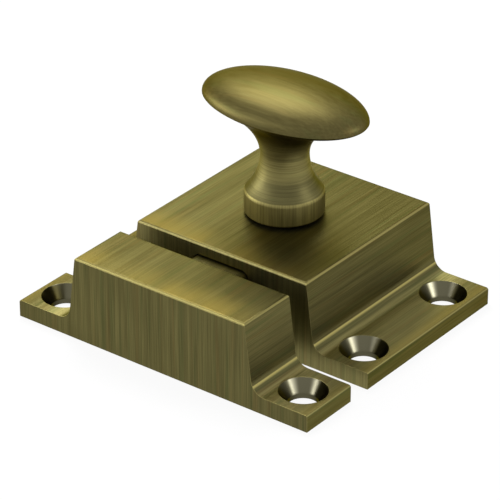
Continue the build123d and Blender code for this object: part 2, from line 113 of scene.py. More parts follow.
class CastingSizes(bpy.types.PropertyGroup):
    flange_thickness: length("Flange thickness", "Thickness of the flat flanges", 3.0)
    block_top_half: length("Block half length, top", "Half the length of the block's top", 17.07)
    block_base_half: length("Block half length, foot", "Half the length of the block at the flange", 18.63)
    foot_radius: length("Foot fillet", "Concave fillet where the block meets the flange", 2.5)
    block_end_radius: length("Block end rounding", "Rounding of the top's two end edges", 0.5)
    flange_end_radius: length("Flange end rounding", "Rounding of the flanges' end edges", 0.4)
    edge_round: length("Outline rounding", "Fine rounding along the front and back outlines", 0.16)
    hole_spacing_x: length("Hole spacing, long", "Distance between screw holes along the flanges", 48.4)
    hole_spacing_y: length("Hole spacing, short", "Distance between screw holes across the latch", 22.1)
    hole_diameter: length("Hole diameter", "Diameter of the screw holes", 5.0)
    countersink_diameter: length("Countersink diameter", "Diameter of the countersinks at the top", 7.9)
    countersink_depth: length("Countersink depth", "Depth of the countersinks", 2.2)
    roof_thickness: length("Roof thickness", "Thickness of the castings' roof", 2.05)
    hollow_half: length("Hollow half length", "Half the length of the hollow under the block", 14.4)
    hollow_corner: length("Hollow corner", "Corner radius of the hollow in plan", 0.8)
    latch_wall: length("Latch wall", "Thickness of the latch's front and back walls", 2.35)
    keeper_front_wall: length("Keeper front wall", "Thickness of the keeper's front wall", 2.55)
    keeper_back_wall: length("Keeper back wall", "Thickness of the keeper's wall at the gap", 2.35)
    mouth_half: length("Mouth half width", "Half the width of the keeper's mouth", 5.9)
    mouth_corner: length("Mouth corner", "Radius of the mouth's upper corners", 1.7)
    mouth_chamfer: length("Mouth chamfer", "Chamfer round the mouth's rim", 0.4)
    slot_half: length("Slot half width", "Half the width of the latch's bolt slot", 5.6)
    slot_floor: length("Slot floor", "Height of the bolt slot's lower side", 5.55)
    slot_corner: length("Slot corner", "Radius of the slot's upper corners", 1.4)
    spindle_bore: length("Spindle bore", "Radius of the bore in the latch's roof", 3.55)
    plate_gap: length("Plate gap", "Room round the back plate in its recess", 0.1)
    plate_corner: length("Plate recess corner", "Corner radius of the back plate's recess", 1.6)
    tapped_radius: length("Tapped hole", "Radius of the back plate's tapped holes", 1.0)
    tapped_top: length("Tapped hole top", "Height at which the tapped holes end", 5.7)
    guide_hole: length("Guide hole", "Radius of the spring guides' holes in the back wall", 1.12)
    guide_depth: length("Guide hole depth", "Depth of the spring guides' holes", 1.5)


class KnobSizes(bpy.types.PropertyGroup):
    collar_radius: length("Collar radius", "Radius of the turned collar", 6.65)
    collar_break: length("Collar edge break", "Small rounding at the collar's foot", 0.3)
    shoulder_round: length("Shoulder rounding", "Set-back of the rounding above the collar", 0.4)
    waist_radius: length("Waist radius", "Smallest radius of the neck", 4.06)
    waist_rise: length("Waist height", "Height of the waist over the collar's foot", 10.4)
    neck_arc_radius: length("Neck arc", "Radius of the neck's concave side", 9.6)
    girth_rise: length("Girth height", "Height of the head's widest line over the collar's foot", 18.8)
    head_half_x: length("Head half length", "Half the length of the oval head", 15.4)
    head_half_y: length("Head half width", "Half the width of the oval head", 9.2)
    bore_radius: length("Shank bore", "Radius of the blind bore for the spindle", 2.52)
    bore_depth: length("Shank bore depth", "Depth of the blind bore for the spindle", 5.64)
    segments: IntProperty(name="Segments", description="Facets round the knob", default=144, min=24)


class SpringSizes(bpy.types.PropertyGroup):
    wire: length("Wire", "Diameter of the spring wire", 0.6)
    outer: length("Outer diameter", "Outer diameter of the bolt's springs", 4.4)
    coils: IntProperty(name="Coils", description="Number of coils of each spring", default=9, min=2)
    coil_steps: IntProperty(name="Steps per coil", description="Facets along one coil", default=28, min=8)
    fixed_end: length("Fixed end", "Distance of the springs' fixed end behind the knob's axis", 14.6)
    pressed: FloatProperty(
        name="Pressed length", description="Share of its length a spring keeps when the bolt is drawn back",
        default=0.776, min=0.1, max=1.0, subtype="FACTOR",
    )


class LockColours(bpy.types.PropertyGroup):
    patina: tint("Patina", "Dark olive tone of the antique finish", 0.061, 0.0545, 0.0225)
    # Lighter brass, and also the tone that lifts fronts and flanges as painted light.
    brass: tint("Brass", "Lighter brass where the finish is rubbed thin", 0.128, 0.1135, 0.045)
    # Worn brass, and also part of the painted highlight along the tops' front edges.
    gold: tint("Gold patch", "Warm brass in the worn patches along the edges", 0.175, 0.134, 0.037)
    # Bare brass, and also painted highlight on the castings' edges and crease and painted light on the
    # knob's collar and neck.
    rubbed_and_painted_light: tint("Rubbed edge", "Bare brass on the edges", 0.32, 0.275, 0.095)
    green: tint("Green band", "Faint green tint of some brushed bands", 0.064, 0.073, 0.028)
    umber: tint("Brown band", "Faint brown tint of some brushed bands", 0.112, 0.077, 0.029)
    sheen: tint("Glancing sheen", "Tint of the lacquered brass at a glancing angle", 0.58, 0.535, 0.31)
    sink: tint("Countersink", "Dark turned metal of the countersinks", 0.105, 0.098, 0.058)
    # Painted reflection: the pale bands painted into the countersinks' colour.
    sink_painted_sheen: tint("Countersink sheen", "Pale bands of the turned countersinks", 0.42, 0.40, 0.28)
    steel: tint("Zinc-plated steel", "Plated steel of the mechanism", 0.46, 0.47, 0.48)
    dark_steel: tint("Blackened steel", "Blackened washers", 0.035, 0.034, 0.030)
    spring: tint("Spring wire", "Drawn spring wire", 0.30, 0.29, 0.27)


class StageSettings(bpy.types.PropertyGroup):
    azimuth: turned("View azimuth", "Camera's turn to the right of the front", 37.556)
    elevation: turned("View elevation", "Camera's height over the horizon", 29.24)
    distance: length("View distance", "Distance from the camera to the aim point", 533.145)
    aim_right: length("Aim across", "Aim point's shift to the right in the picture", -5.612, signed=True)
    aim_up: length("Aim up", "Aim point's shift upwards in the picture", 6.68, signed=True)
    lens: FloatProperty(
        name="Focal length", description="Lens in millimetres", default=231.96, unit="CAMERA",
    )
    head_power: watts("Top lamp", "Lamp over the left that lights the knob's head", 0.90)
    back_power: watts("Back lamp", "Soft lamp behind the left that lights the tops", 0.03)
    front_power: watts("Front lamp", "Soft lamp at the front left", 0.7)
    left_power: watts("Left lamp", "Soft low lamp at the left that lights the collar", 3.0)
    side_power: watts("Side lamp", "Soft lamp behind the right that draws the edges", 0.26)
    floor_tone: tint("Floor", "Colour of the floor", 0.86, 0.86, 0.86)


class Shade:
    """One node socket; arithmetic on it adds Math nodes to its tree."""

    def __init__(self, finish, socket):
        self.finish = finish
        self.socket = socket

    def math(self, operation, *operands):
        return self.finish.add("ShaderNodeMath", {"operation": operation}, dict(enumerate(operands)))

    def __add__(self, other):
        return self.math("ADD", self, other)

    def __radd__(self, other):
        return self.math("ADD", other, self)

    def __sub__(self, other):
        return self.math("SUBTRACT", self, other)

    def __rsub__(self, other):
        return self.math("SUBTRACT", other, self)

    def __mul__(self, other):
        return self.math("MULTIPLY", self, other)

    def __rmul__(self, other):
        return self.math("MULTIPLY", other, self)

    def __truediv__(self, other):
        return self.math("DIVIDE", self, other)

    def __rtruediv__(self, other):
        return self.math("DIVIDE", other, self)

    def __pow__(self, other):
        return self.math("POWER", self, other)

    def __rpow__(self, other):
        return self.math("POWER", other, self)

    def __abs__(self):
        return self.math("ABSOLUTE", self)

    def larger(self, other):
        return self.math("MAXIMUM", self, other)

    def side(self):
        """-1 below zero, 1 above."""
        return self.math("SIGN", self)

    def ramp(self, low, high):
        """0 at low, 1 at high, with smooth ends."""
        settings = {"interpolation_type": "SMOOTHSTEP"}
        values = {"Value": self, "From Min": low, "From Max": high, "To Min": 0.0, "To Max": 1.0}
        return self.finish.add("ShaderNodeMapRange", settings, values)


class Finish:
    """The nodes of one material, or of the world, added one by one."""

    def __init__(self, owner):
        owner.use_nodes = True
        self.owner = owner
        self.tree = owner.node_tree
        self.tree.nodes.clear()

    def add(self, kind, settings=None, values=None, output=0):
        node = self.tree.nodes.new(kind)
        for name, value in (settings or {}).items():
            setattr(node, name, value)
        for name, value in (values or {}).items():
            if isinstance(value, Shade):
                self.tree.links.new(value.socket, node.inputs[name])
            else:
                node.inputs[name].default_value = value
        return Shade(self, node.outputs[output]) if node.outputs else None

    def place(self, output="Object"):
        """The three parts of the object coordinates in millimetres, or of the object's normal."""
        spot = self.add("ShaderNodeTexCoord", output=output)
        scale = 1.0 / MM if output == "Object" else 1.0
        split = self.add("ShaderNodeSeparateXYZ", values={"Vector": spot})
        return [Shade(self, split.socket.node.outputs[axis]) * scale for axis in range(3)]

    def noise(self, x, y, z, detail=2.0, roughness=0.5):
        spot = self.add("ShaderNodeCombineXYZ", values={"X": x, "Y": y, "Z": z})
        values = {"Vector": spot, "Scale": 1.0, "Detail": detail, "Roughness": roughness}
        return self.add("ShaderNodeTexNoise", {"noise_dimensions": "3D"}, values)

    def blend(self, factor, first, second, mode="MIX"):
        """Colour between first and second."""
        values = {0: factor, 6: colour(first), 7: colour(second)}
        return self.add("ShaderNodeMix", {"data_type": "RGBA", "blend_type": mode}, values, output=2)

    def choose(self, factor, first, second):
        """Number between first and second."""
        return self.add("ShaderNodeMix", {"data_type": "FLOAT"}, {0: factor, 2: first, 3: second})

    def dim(self, base, shade):
        """Colour made lighter or darker by a number."""
        grey = self.add("ShaderNodeCombineColor", values={0: shade, 1: shade, 2: shade})
        return self.blend(1.0, base, grey, "MULTIPLY")

    def seen(self):
        """1 where the surface is seen by the camera, in a reflection or through something clear."""
        path = self.add("ShaderNodeLightPath").socket.node.outputs
        camera, glossy, clear = (
            Shade(self, path[name]) for name in ("Is Camera Ray", "Is Glossy Ray", "Is Transmission Ray")
        )
        return camera.larger(glossy).larger(clear)

    def metal(
        self, base, roughness, height, sheen=(0.9, 0.9, 0.9), bump_strength=0.3, bump_reach=0.05 * MM,
    ):
        """Metal with its brush marks; sheen tints what it shows at a glancing angle."""
        bump_values = {"Strength": bump_strength, "Distance": bump_reach, "Height": height}
        normal = self.add("ShaderNodeBump", values=bump_values)
        values = {
            "Base Color": colour(base), "Roughness": roughness, "Metallic": 1.0, "Normal": normal,
            "Specular Tint": colour(sheen),
        }
        shader = self.add("ShaderNodeBsdfPrincipled", values=values)
        self.add("ShaderNodeOutputMaterial", values={"Surface": shader})
        return self.owner


def colour(value):
    """A colour as a node socket takes it."""
    return value if isinstance(value, Shade) else (*value[:3], 1.0)


def brush_shade(fine):
    """How light a brush line leaves the brass."""
    return 0.42 + fine * 1.16


def brushed(finish, lift, fine, wide, cool, warm, tones, banding=0.36):
    """Brushed antique brass: its lift towards the lighter brass tone (random tone and, where callers pass
    it, painted light), fine lines, bands and two faint tints.
    """
    base = finish.blend(lift + banding * wide.ramp(0.36, 0.64), tones.patina, tones.brass)
    base = finish.blend(cool.ramp(0.52, 0.66) * 0.45, base, tones.green)
    base = finish.blend(warm.ramp(0.54, 0.68) * 0.32, base, tones.umber)
    return finish.dim(base, brush_shade(fine))


def casting_brass(name, low, high, tones, front_wear_and_glint, end_wear_and_glint, front_painted_light, end_painted_light, top_painted_light):
    """Brass of the castings: brushed along Y on the tops and ends, upright on the fronts and backs.

    The edge wears lighten the edges, partly as bare-brass wear and partly as painted highlight lines; the
    three painted-light numbers lighten whole faces by their facing as painted light. Front is across Y, end
    across X.
    """
    finish = Finish(bpy.data.materials.new(name))
    x, y, z = finish.place()
    normal_x, normal_y, normal_z = (abs(part) for part in finish.place("Normal"))
    upright = normal_y.ramp(0.6, 0.8)

    def streaks(across, along, shift, detail=2.0):
        lying = finish.noise(x * across + shift, y * along, z * across, detail, GRAIN)
        standing = finish.noise(x * across + shift, y * 0.3, z * along, detail, GRAIN)
        return finish.choose(upright, lying, standing)

    fine = streaks(6.5, 0.08, 0.0, 2.0)
    wide = streaks(1.3, 0.025, 7.0, 3.0)
    cool = streaks(1.0, 0.02, 21.0)
    warm = streaks(0.8, 0.02, 43.0)
    drift = finish.noise(x * 0.08 + 1.7, y * 0.08, z * 0.10, 1.0)
    facing_up = normal_z.ramp(0.80, 0.95)
    raised = z.ramp(high.z / MM - 1.0, high.z / MM)
    flange = facing_up * (1.0 - raised)
    near_block = 1.0 - abs(x).ramp(20.5, 28.0)
    # Painted light: fronts (upright) and flanges, most near the block that shades them, lifted towards the
    # lighter brass; drift is random tone.
    lift = 0.22 + 0.10 * drift.ramp(0.35, 0.65) + upright * 0.30 + flange * (0.35 + 0.35 * near_block)
    base = brushed(finish, lift, fine, wide, cool, warm, tones)
    near_front = 1.0 - (y - low.y / MM).ramp(0.0, 7.0)
    # Painted light: a lighter patch on the top in front of the knob, where the knob's dark reflection
    # falls.
    painted_light_before_knob = x.ramp(-6.0, 5.0) * (1.0 - (y - low.y / MM).ramp(3.0, 12.0)) * front_painted_light
    # Painted light on the tops: lighter at the left, darker to the right, lighter near the front.
    painted_light_on_top = top_painted_light - 0.34 * x.ramp(-16.0, 16.0) + 0.08 * near_front + 0.35 * painted_light_before_knob
    # Painted light on the flange next to the block's foot.
    painted_light_by_foot = normal_z.ramp(0.93, 0.99) * (1.0 - abs(x).ramp(20.8, 25.5)) * 0.50
    # Painted light and shade on the flanges: lighter near the block and by the foot, the left flange
    # darker.
    right_side = x.ramp(-1.0, 1.0)
    painted_light_on_flange = 0.60 * near_block - 0.12 + 0.6 * end_painted_light + painted_light_by_foot - 0.25 * (1.0 - right_side)
    # Painted light on the fronts and ends by their facing; the line below applies all the painted light.
    painted_light_on_sides = upright * front_painted_light + normal_x.ramp(0.8, 0.95) * end_painted_light
    base = finish.dim(base, 1.0 + facing_up * raised * painted_light_on_top + flange * painted_light_on_flange + painted_light_on_sides)
    # Gold patches along the tops' front edges: partly worn brass, partly a painted highlight that is
    # brighter near the front.
    worn_and_highlight_patches = finish.noise(x * 0.15 + 5.0, y * 0.03, 0.0, 1.0).ramp(0.42, 0.62)
    base = finish.blend(facing_up * raised * near_front * (0.25 + 0.45 * worn_and_highlight_patches), base, tones.gold)
    near_end = abs(x).ramp(high.x / MM - 2.6, high.x / MM - 0.2)
    base = finish.blend(flange * near_end * 0.45, base, tones.gold)
    edge = 1.0 - normal_x.larger(normal_y).larger(normal_z).ramp(0.78, 0.97)
    cross_edge = normal_y.ramp(0.15, 0.45)
    foot = abs(x).ramp(18.1, 18.3) * (1.0 - abs(x).ramp(22.0, 23.0)) * (1.0 - cross_edge)
    # Painted highlight: a thin bright line along the concave foot fillet.
    painted_crease_highlight = normal_z.ramp(0.46, 0.50) * (1.0 - normal_z.ramp(0.52, 0.66)) * foot
    # Edges blended to the rubbed tone: partly bare-brass wear, partly painted highlight lines, plus the
    # painted crease highlight.
    wear_and_glint = finish.choose(cross_edge, end_wear_and_glint, front_wear_and_glint) * (1.0 - foot) * edge + painted_crease_highlight
    base = finish.blend(wear_and_glint, base, tones.rubbed_and_painted_light)
    roughness = 0.34 + fine * 0.12 - edge * 0.04
    return finish.metal(base, roughness, fine, tones.sheen)


def knob_brass(name, foot_z, waist_z, tones):
    """Brass of the knob: upright lines on the collar, rings round the neck, lines along the head."""
    finish = Finish(bpy.data.materials.new(name))
    x, y, z = finish.place()
    radius = (x * x + y * y) ** 0.5
    turn_x, turn_y = x / radius, y / radius
    above_collar = z.ramp(foot_z / MM + 3.95, foot_z / MM + 4.15)
    head = z.ramp(waist_z / MM + 2.0, waist_z / MM + 5.0)

    def streaks(across, round_lines, along, shift, detail=2.0):
        rings = finish.noise(turn_x * 0.5 + shift, turn_y * 0.5, z * across, detail, GRAIN)
        lines = finish.noise(turn_x * round_lines + shift, turn_y * round_lines, z * along, detail, GRAIN)
        lengthwise = finish.noise(x * along + shift, y * across * 0.5, z * across * 0.5, detail, GRAIN)
        return finish.choose(head, finish.choose(above_collar, lines, rings), lengthwise)

    fine = streaks(6.0, 34.0, 0.08, 0.0, 2.0)
    wide = streaks(1.2, 9.0, 0.03, 3.0, 3.0)
    cool = streaks(0.90, 7.0, 0.03, 23.0)
    warm = streaks(0.70, 6.0, 0.03, 47.0)
    lift = 0.04 + 0.56 * (1.0 - head)
    base = brushed(finish, lift, fine, wide, cool, warm, tones, 0.20)
    base = finish.blend(head * 0.22, base, tones.gold)
    neck = z.ramp(foot_z / MM + 6.0, foot_z / MM + 8.5) * (1.0 - head)
    # Collar and neck blended towards the lighter rubbed tone: partly bare turned brass, partly painted
    # light.
    bare_and_painted_light = (1.0 - above_collar) * 0.50 + neck * 0.42
    base = finish.blend(bare_and_painted_light, base, finish.dim(tones.rubbed_and_painted_light, brush_shade(fine)))
    return finish.metal(base, 0.36 + fine * 0.14 + bare_and_painted_light * 0.10, fine, tones.sheen, 0.15)


def plain_metal(name, base, roughness, grain=6.0, spread=0.3):
    """Plated, drawn or polished metal with a fine grain."""
    finish = Finish(bpy.data.materials.new(name))
    x, y, z = finish.place()
    fine = finish.noise(x * grain, y * grain * 0.3, z * grain, 3.0, GRAIN)
    cloud = finish.noise(x * 0.4, y * 0.4, z * 0.4, 2.0)
    tone = finish.dim(base, 1.0 - spread * 0.5 + spread * (0.5 * fine + 0.5 * cloud))
    return finish.metal(tone, roughness + fine * 0.10, fine, bump_strength=0.10, bump_reach=0.02 * MM)


def turned_cone(name, centre_y, spacing_x, spacing_y, tones):
    """Dark turned metal of the countersinks, with a bow-tie sheen painted into the colour round each hole:
    pale bands of painted reflection between darker sectors of painted shade.
    """
    finish = Finish(bpy.data.materials.new(name))
    x, y, z = finish.place()
    y = y - centre_y / MM
    x = x - x.side() * (spacing_x / 2 / MM)
    y = y - y.side() * (spacing_y / 2 / MM)
    bow_direction = math.radians(123.7)
    tilt = 2 * bow_direction
    bow = ((x * x - y * y) * math.cos(tilt) + 2.0 * x * y * math.sin(tilt)) / (x * x + y * y)
    # Painted reflection: pale bow-tie bands; painted shade: the other sectors darkened.
    painted_sheen_band = bow.ramp(-0.05, 0.42) * (1.0 - 0.94 * bow.ramp(0.48, 0.90)) * z.ramp(0.75, 1.1)
    base = finish.blend(painted_sheen_band, finish.dim(tones.sink, 0.40 + 0.5 * bow.ramp(-0.6, 1.0)), tones.sink_painted_sheen)
    fine = finish.noise(x * 3.0, y * 3.0, z * 9.0)
    return finish.metal(base, 0.30, fine, tones.sheen, 0.10, 0.02 * MM)


def new_object(name, bm):
    mesh = bpy.data.meshes.new(name)
    bm.to_mesh(mesh)
    bm.free()
    made = bpy.data.objects.new(name, mesh)
    bpy.context.scene.collection.objects.link(made)
    return made


def new_piece(name, bm, materials, body, nodes):
    """Makes the bmesh an object that stands for its CAD nodes."""
    bmesh.ops.recalc_face_normals(bm, faces=bm.faces)
    piece = new_object(name, bm)
    for material in materials:
        piece.data.materials.append(material)
    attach(piece, body)
    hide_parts(*nodes)
    return piece


def shade_smooth(piece, sharp_degrees):
    """Smooth shading up to an angle between faces."""
    piece.data.shade_smooth()
    piece.data.set_sharp_from_angle(angle=math.radians(sharp_degrees))


def soften(piece):
    """Smooth shading that keeps a casting's flat faces flat."""
    shade_smooth(piece, 32)
    weighted = piece.modifiers.new("Even normals", "WEIGHTED_NORMAL")
    weighted.keep_sharp = True
    weighted.weight = 90


def cut_away(piece, cutter_bm):
    """Takes the cutter's solid out of the piece."""
    bmesh.ops.recalc_face_normals(cutter_bm, faces=cutter_bm.faces)
    cutter = new_object("cutter", cutter_bm)
    boolean = piece.modifiers.new("Cut", "BOOLEAN")
    boolean.operation = "DIFFERENCE"
    boolean.solver = "EXACT"
    boolean.object = cutter
    cut_piece = piece.evaluated_get(bpy.context.evaluated_depsgraph_get())
    result = bpy.data.meshes.new_from_object(cut_piece)
    piece.modifiers.remove(boolean)
    uncut = piece.data
    piece.data = result
    bpy.data.meshes.remove(uncut)
    cutter_mesh = cutter.data
    bpy.data.objects.remove(cutter)
    bpy.data.meshes.remove(cutter_mesh)


def bevel(bm, edges, offset, segments):
    bmesh.ops.bevel(
        bm, geom=edges, offset=offset, offset_type="OFFSET", segments=segments,
        profile=0.5, affect="EDGES", material=-1, clamp_overlap=True,
    )


def stack_rings(bm, rings, segments, centre=(0.0, 0.0), pole=None):
    """Skins rings of (height, half along X, half along Y) and closes both ends."""
    pivot = Matrix.Translation((-centre[0], -centre[1], 0.0))
    height, half_x, half_y = rings[0]
    start = Matrix.Translation((*centre, height)) @ Matrix.Diagonal((half_x, half_y, 1.0, 1.0))
    circle = bmesh.ops.create_circle(bm, cap_ends=True, segments=segments, radius=1.0, matrix=start)
    edges = list({edge for vert in circle["verts"] for edge in vert.link_edges})
    for next_height, next_x, next_y in rings[1:]:
        skin = bmesh.ops.extrude_edge_only(bm, edges=edges)["geom"]
        verts = [item for item in skin if isinstance(item, bmesh.types.BMVert)]
        edges = [
            item for item in skin
            if isinstance(item, bmesh.types.BMEdge) and len(item.link_faces) == 1
        ]
        bmesh.ops.scale(bm, vec=(next_x / half_x, next_y / half_y, 1.0), space=pivot, verts=verts)
        bmesh.ops.translate(bm, vec=(0.0, 0.0, next_height - height), verts=verts)
        height, half_x, half_y = next_height, next_x, next_y
    if pole is None:
        bmesh.ops.contextual_create(bm, geom=edges)
    else:
        verts = list({vert for edge in edges for vert in edge.verts})
        bmesh.ops.pointmerge(bm, verts=verts, merge_co=(*centre, pole))


def straight_hole(bm, low_z, high_z, radius, segments, centre=(0.0, 0.0)):
    stack_rings(bm, [(low_z, radius, radius), (high_z, radius, radius)], segments, centre)


def rounded_box(bm, low, high, corner, axis=2, upper_only=False, flare=0.0):
    """Box from corner to corner, its edges along one axis rounded, its far Y end flared."""
    centre = (low + high) / 2
    place = Matrix.Translation(centre) @ Matrix.Diagonal((*(high - low), 1.0))
    verts = bmesh.ops.create_cube(bm, size=1.0, matrix=place)["verts"]
    rounded = []
    for edge in {edge for vert in verts for edge in vert.link_edges}:
        first, second = (vert.co for vert in edge.verts)
        runs_along = abs(second[axis] - first[axis]) > 0.9 * (second - first).length
        if runs_along and not (upper_only and first.z < centre.z):
            rounded.append(edge)
    if flare > 0:
        far = [vert for vert in verts if vert.co.y > centre.y]
        half = (high - low) / 2
        ratio = ((half.x + flare) / half.x, 1.0, (half.z + flare) / half.z)
        bmesh.ops.scale(bm, vec=ratio, space=Matrix.Translation(-centre), verts=far)
    bevel(bm, rounded, corner, CORNER_SEGMENTS)


def cut_box(piece, low, high, corner, **shape):
    """Takes a rounded box out of the piece."""
    cutter = bmesh.new()
    rounded_box(cutter, low, high, corner, **shape)
    cut_away(piece, cutter)


def casting_body(low, high, sizes):
    """The castings' hat-shaped bar with its fillets and fine outline rounding."""
    bm = bmesh.new()
    thickness, height, half_length = sizes.flange_thickness, high.z, high.x
    right_side = [
        (half_length, 0.0), (half_length, thickness), (sizes.block_base_half, thickness),
        (sizes.block_top_half, height),
    ]
    outline = right_side + [(-x, z) for x, z in reversed(right_side)]
    face = bm.faces.new([bm.verts.new((x, low.y, z)) for x, z in outline])
    skin = bmesh.ops.extrude_face_region(bm, geom=[face])["geom"]
    moved = [item for item in skin if isinstance(item, bmesh.types.BMVert)]
    bmesh.ops.translate(bm, vec=(0.0, high.y - low.y, 0.0), verts=moved)
    draft = math.atan2(sizes.block_base_half - sizes.block_top_half, height - thickness)
    turn = math.tan((math.pi / 2 - draft) / 2)
    rounds = [
        (sizes.block_base_half, thickness, sizes.foot_radius * turn, 14),
        (sizes.block_top_half, height, sizes.block_end_radius * turn, 8),
        (half_length, thickness, sizes.flange_end_radius, 5),
    ]
    for corner_x, corner_z, offset, segments in rounds:
        edges = [
            edge for edge in bm.edges
            if all(math.hypot(abs(v.co.x) - corner_x, v.co.z - corner_z) < SAME for v in edge.verts)
        ]
        bevel(bm, edges, offset, segments)
    outline_edges = [
        edge for edge in bm.edges
        if abs(edge.verts[0].co.y - edge.verts[1].co.y) < LEVEL
        and any(v.co.z > SAME for v in edge.verts)
    ]
    bevel(bm, outline_edges, sizes.edge_round, 4)
    return bm


def screw_holes(piece, centres, sizes):
    """Cuts the countersunk holes and gives their faces the polished metal."""
    top = sizes.flange_thickness
    bore = sizes.hole_diameter / 2
    rim = sizes.countersink_diameter / 2
    lip, margin = 0.10 * MM, 0.05 * MM
    inner = rim - lip * (rim - bore) / sizes.countersink_depth
    profile = [
        (-PAST, bore), (top - sizes.countersink_depth, bore), (top - lip, inner),
        (top - 0.3 * lip, rim + 0.3 * lip), (top, rim + lip), (top + PAST, rim + lip),
    ]
    cutter = bmesh.new()
    for centre in centres:
        stack_rings(cutter, [(height, radius, radius) for height, radius in profile], HOLE_SEGMENTS, centre)
    cut_away(piece, cutter)
    for polygon in piece.data.polygons:
        spot = polygon.center
        inside = any(math.hypot(spot.x - x, spot.y - y) < rim for x, y in centres)
        if inside and margin < spot.z < top - margin:
            polygon.material_index = 1


def cast_block(name, node, slot, low, high, walls, span_y, wear_and_painted_light, context):
    """A casting of its own brass, hollowed from below between its front and back wall.

    span_y is the distance between its screw holes across Y, wear_and_painted_light the edge wear and
    painted light that its brass takes.
    """
    sizes = context.scene.lock_castings
    tones = context.scene.lock_colours
    brass = casting_brass(slot, low, high, tones, *wear_and_painted_light)
    polished = turned_cone(node + "_countersink", (low.y + high.y) / 2, sizes.hole_spacing_x, span_y, tones)
    bm = casting_body(low, high, sizes)
    piece = new_piece(name, bm, [brass, polished], "mounting", [node])
    hollow_low = Vector((-sizes.hollow_half, low.y + walls[0], -PAST))
    hollow_high = Vector((sizes.hollow_half, high.y - walls[1], high.z - sizes.roof_thickness))
    cut_box(piece, hollow_low, hollow_high, sizes.hollow_corner)
    return piece


class LOCK_OT_keeper(bpy.types.Operator):
    """Builds the keeper casting with its mouth and countersunk holes"""

    bl_idname = "lock.keeper"
    bl_label = "Keeper"

    def execute(self, context):
        sizes = context.scene.lock_castings
        back = KEEPER_HIGH.y
        walls = (sizes.keeper_front_wall, sizes.keeper_back_wall)
        # The five numbers: edge wear-and-glint on fronts and ends, then painted light on fronts, ends and
        # top.
        piece = cast_block(
            "keeper_casting", "keeper", "keeper_brass", KEEPER_LOW, KEEPER_HIGH, walls, 0.0,
            (0.85, 0.5, 0.04, 0.40, 0.0), context,
        )
        mouth_low = Vector((-sizes.mouth_half, back - sizes.keeper_back_wall - INTO, -PAST))
        mouth_high = Vector((sizes.mouth_half, back + PAST, KEEPER_HIGH.z - sizes.roof_thickness))
        cut_box(piece, mouth_low, mouth_high, sizes.mouth_corner, axis=1, upper_only=True)
        mouth_low.y, mouth_high.y = back - sizes.mouth_chamfer, back + sizes.mouth_chamfer
        cut_box(
            piece, mouth_low, mouth_high, sizes.mouth_corner,
            axis=1, upper_only=True, flare=2 * sizes.mouth_chamfer,
        )
        centre_y = (KEEPER_LOW.y + back) / 2
        centres = [(side * sizes.hole_spacing_x / 2, centre_y) for side in (-1, 1)]
        screw_holes(piece, centres, sizes)
        soften(piece)
        return {"FINISHED"}


class LOCK_OT_latch(bpy.types.Operator):
    """Builds the latch casting with its hollow, slot, bore and countersunk holes"""

    bl_idname = "lock.latch"
    bl_label = "Latch"

    def execute(self, context):
        sizes = context.scene.lock_castings
        front, top = LATCH_LOW.y, LATCH_HIGH.z
        roof = top - sizes.roof_thickness
        walls = (sizes.latch_wall, sizes.latch_wall)
        # The five numbers: edge wear-and-glint on fronts and ends, then painted light on fronts, ends and
        # top.
        piece = cast_block(
            "latch_casting", "latch_housing", "latch_brass", LATCH_LOW, LATCH_HIGH, walls,
            sizes.hole_spacing_y, (0.25, 0.6, 0.75, 0.12, 0.24), context,
        )
        gap = Vector((sizes.plate_gap, sizes.plate_gap, 0.0))
        recess_low = PLATE_LOW - gap - Vector((0.0, 0.0, PAST))
        cut_box(piece, recess_low, PLATE_HIGH + gap, sizes.plate_corner)
        cutter = bmesh.new()
        for number in range(1, 5):
            low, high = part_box(f"back_plate_screw_{number}")
            centre = ((low.x + high.x) / 2, (low.y + high.y) / 2)
            straight_hole(
                cutter, PLATE_HIGH.z / 2, sizes.tapped_top, sizes.tapped_radius, TAPPED_SEGMENTS, centre,
            )
        straight_hole(cutter, roof - PAST, top + PAST, sizes.spindle_bore, HOLE_SEGMENTS)
        cut_away(piece, cutter)
        slot_low = Vector((-sizes.slot_half, front - PAST, sizes.slot_floor))
        slot_high = Vector((sizes.slot_half, front + sizes.latch_wall + INTO, roof))
        cut_box(piece, slot_low, slot_high, sizes.slot_corner, axis=1, upper_only=True)
        cutter = bmesh.new()
        wall_y = LATCH_HIGH.y - sizes.latch_wall
        half = sizes.guide_hole
        nearly_round = 0.99 * half
        for side in ("left", "right"):
            low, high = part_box("spring_guide_" + side)
            x, z = (low.x + high.x) / 2, (low.z + high.z) / 2
            rounded_box(
                cutter,
                Vector((x - half, wall_y - INTO, z - half)),
                Vector((x + half, wall_y + sizes.guide_depth, z + half)),
                nearly_round, axis=1,
            )
        cut_away(piece, cutter)
        centres = [
            (side_x * sizes.hole_spacing_x / 2, side_y * sizes.hole_spacing_y / 2)
            for side_x in (-1, 1) for side_y in (-1, 1)
        ]
        screw_holes(piece, centres, sizes)
        soften(piece)
        return {"FINISHED"}


def growth(share, column):
    """How far the head's underside has grown at a share of its height: a smooth curve through the rows."""
    for index in range(len(UNDERSIDE) - 1):
        low, high = UNDERSIDE[index], UNDERSIDE[index + 1]
        if share <= high[0]:
            break
    slopes = []
    for row in (index, index + 1):
        if 0 < row < len(UNDERSIDE) - 1:
            before, after = UNDERSIDE[row - 1], UNDERSIDE[row + 1]
            slopes.append((after[column] - before[column]) / (after[0] - before[0]))
        else:
            slopes.append(0.0)
    run = high[0] - low[0]
    t = (share - low[0]) / run
    rise = high[column] - low[column]
    ease = t * t * (3 - 2 * t)
    bend = t * (1 - t) * ((1 - t) * slopes[0] - t * slopes[1]) * run
    return low[column] + rise * ease + bend


